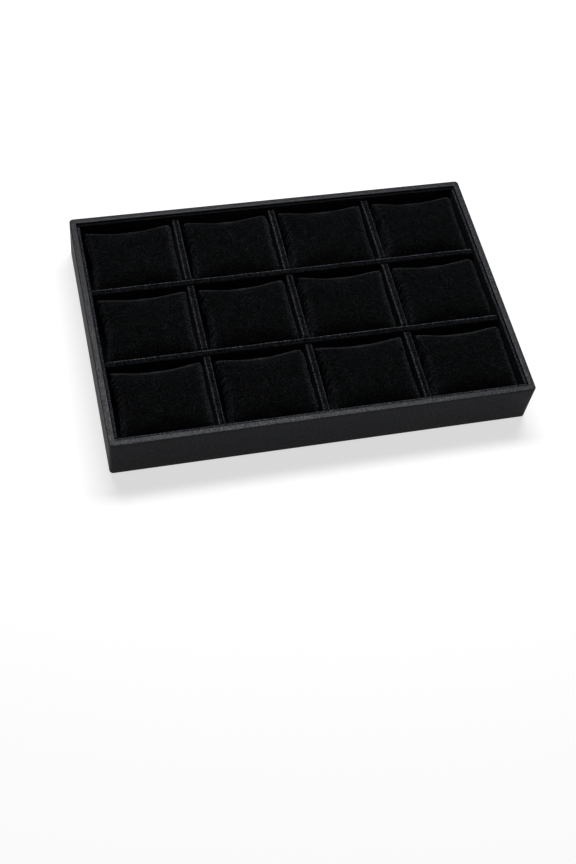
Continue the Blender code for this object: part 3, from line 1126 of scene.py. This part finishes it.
class TrayFinishes(bpy.types.PropertyGroup):
    """Colours of the coverings, and the size of the leatherette's grain."""

    leatherette_colour: bpy.props.FloatVectorProperty(
        name="Leatherette",
        description="Colour of the leatherette's pebbles",
        size=4,
        subtype="COLOR",
        min=0.0,
        max=1.0,
        default=linear("1A1C22"),
    )
    grain: bpy.props.FloatProperty(
        name="Grain",
        description="Distance between the pebbles of the leatherette's grain",
        default=2.0 * MM,
        unit="LENGTH",
    )
    lining_colour: bpy.props.FloatVectorProperty(
        name="Lining velvet",
        description="Colour of the velvet on the inside walls and the floor",
        size=4,
        subtype="COLOR",
        min=0.0,
        max=1.0,
        default=linear("121315"),
    )
    divider_colour: bpy.props.FloatVectorProperty(
        name="Divider velvet",
        description="Colour of the velvet on the dividers",
        size=4,
        subtype="COLOR",
        min=0.0,
        max=1.0,
        default=linear("0F1012"),
    )
    # Paler velvet along bends: partly opened pile, partly a painted sheen
    opened_pile_and_sheen_colour: bpy.props.FloatVectorProperty(
        name="Opened pile",
        description="Colour of the velvet where it is bent over an edge",
        size=4,
        subtype="COLOR",
        min=0.0,
        max=1.0,
        default=linear("424449"),
    )
    pillow_colour: bpy.props.FloatVectorProperty(
        name="Pillow velvet",
        description="Colour of the velvet of the pillows",
        size=4,
        subtype="COLOR",
        min=0.0,
        max=1.0,
        default=linear("0A0B0C"),
    )
    felt_colour: bpy.props.FloatVectorProperty(
        name="Felt",
        description="Colour of the felt on the underside",
        size=4,
        subtype="COLOR",
        min=0.0,
        max=1.0,
        default=linear("151517"),
    )
    board_colour: bpy.props.FloatVectorProperty(
        name="Fibreboard",
        description="Colour of the boards inside the leatherette",
        size=4,
        subtype="COLOR",
        min=0.0,
        max=1.0,
        default=linear("8C7A60"),
    )


class TrayStudio(bpy.types.PropertyGroup):
    """Lamps and camera."""

    key_power: bpy.props.FloatProperty(
        name="Key light",
        description="Power of the wide softbox above and behind the tray",
        default=27.0,
        unit="POWER",
    )
    fill_strength: bpy.props.FloatProperty(
        name="Fill",
        description="Strength of the even light all round",
        default=0.08,
        min=0.0,
    )
    lens: bpy.props.FloatProperty(
        name="Lens",
        description="Focal length of the camera",
        default=54.252,
        unit="CAMERA",
    )


# Operators


class TRAY_OT_leatherette(bpy.types.Operator):
    """Folds the leatherette round the tray"""

    bl_idname = "tray.leatherette"
    bl_label = "Leatherette"

    def execute(self, context):
        finishes = context.scene.tray_finishes
        material = embossed_leatherette(
            "embossed leatherette", tuple(finishes.leatherette_colour), finishes.grain
        )
        make_leatherette_wrap(material, context.scene.tray_sizes)
        return {"FINISHED"}


class TRAY_OT_linings(bpy.types.Operator):
    """Lines the inside walls with velvet-covered panels"""

    bl_idname = "tray.linings"
    bl_label = "Linings"

    def execute(self, context):
        make_linings(piece_velvet(context.scene.tray_finishes, "lining", LINING_SHEEN))
        return {"FINISHED"}


class TRAY_OT_dividers(bpy.types.Operator):
    """Makes the slotted velvet dividers"""

    bl_idname = "tray.dividers"
    bl_label = "Dividers"

    def execute(self, context):
        make_dividers(piece_velvet(context.scene.tray_finishes, "divider", DIVIDER_SHEEN))
        return {"FINISHED"}


class TRAY_OT_pillows(bpy.types.Operator):
    """Makes a stuffed velvet pillow for each cell"""

    bl_idname = "tray.pillows"
    bl_label = "Pillows"

    def execute(self, context):
        material = piece_velvet(context.scene.tray_finishes, "pillow", PILLOW_SHEEN)
        make_pillows(material, context.scene.tray_sizes)
        return {"FINISHED"}


class TRAY_OT_hidden_pieces(bpy.types.Operator):
    """Gives the boards, the floor lining and the felt their finishes"""

    bl_idname = "tray.hidden_pieces"
    bl_label = "Boards, floor and felt"

    def execute(self, context):
        finishes = context.scene.tray_finishes
        board = sawn_fibreboard("sawn fibreboard", tuple(finishes.board_colour))
        felt = pressed_felt("pressed felt", tuple(finishes.felt_colour))
        velvet = short_pile_velvet("floor velvet", tuple(finishes.lining_colour), FLOOR_SHEEN)
        finish_of = {f"{side}_wall": board for side in SIDES}
        finish_of.update(base_board=board, base_cover=felt, floor_lining=velvet)
        for node, material in finish_of.items():
            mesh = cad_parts[node].data
            mesh.materials.clear()
            mesh.materials.append(material)
        return {"FINISHED"}


class TRAY_OT_studio(bpy.types.Operator):
    """Sets up the floor, the lamps and the camera"""

    bl_idname = "tray.studio"
    bl_label = "Studio"

    def execute(self, context):
        studio = context.scene.tray_studio
        make_floor()
        make_world(studio.fill_strength)
        add_softbox(
            "key softbox", KEY_DIRECTION, KEY_DISTANCE, KEY_SIZE, studio.key_power, (0, 0, 0)
        )
        make_camera(
            Vector(CAMERA_PLACE),
            math.radians(CAMERA_AZIMUTH),
            math.radians(CAMERA_ELEVATION),
            math.radians(CAMERA_ROLL),
            studio.lens,
        )
        context.scene.view_settings.view_transform = "Standard"
        return {"FINISHED"}


class TRAY_PT_panel(bpy.types.Panel):
    """Lists the tray's pieces and settings in the sidebar"""

    bl_label = "Watch Display Tray"
    bl_idname = "TRAY_PT_panel"
    bl_space_type = "VIEW_3D"
    bl_region_type = "UI"
    bl_category = "Tray"

    def draw(self, context):
        layout = self.layout
        scene = context.scene
        for group in (scene.tray_sizes, scene.tray_finishes, scene.tray_studio):
            box = layout.box()
            for label in group.__annotations__:
                box.prop(group, label)
        for operator in OPERATORS:
            layout.operator(operator.bl_idname)


OPERATORS = (
    TRAY_OT_leatherette,
    TRAY_OT_linings,
    TRAY_OT_dividers,
    TRAY_OT_pillows,
    TRAY_OT_hidden_pieces,
    TRAY_OT_studio,
)
CLASSES = (TraySizes, TrayFinishes, TrayStudio, *OPERATORS, TRAY_PT_panel)


def register():
    """Registers the classes and puts their settings on the scene."""
    for cls in CLASSES:
        bpy.utils.register_class(cls)
    bpy.types.Scene.tray_sizes = bpy.props.PointerProperty(type=TraySizes)
    bpy.types.Scene.tray_finishes = bpy.props.PointerProperty(type=TrayFinishes)
    bpy.types.Scene.tray_studio = bpy.props.PointerProperty(type=TrayStudio)


def unregister():
    """Takes the settings and the classes away again."""
    del bpy.types.Scene.tray_studio
    del bpy.types.Scene.tray_finishes
    del bpy.types.Scene.tray_sizes
    for cls in reversed(CLASSES):
        bpy.utils.unregister_class(cls)


def main():
    """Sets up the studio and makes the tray's pieces."""
    register()
    bpy.ops.tray.studio()
    bpy.ops.tray.hidden_pieces()
    bpy.ops.tray.leatherette()
    bpy.ops.tray.linings()
    bpy.ops.tray.dividers()
    bpy.ops.tray.pillows()


if __name__ == "__main__":
    main()
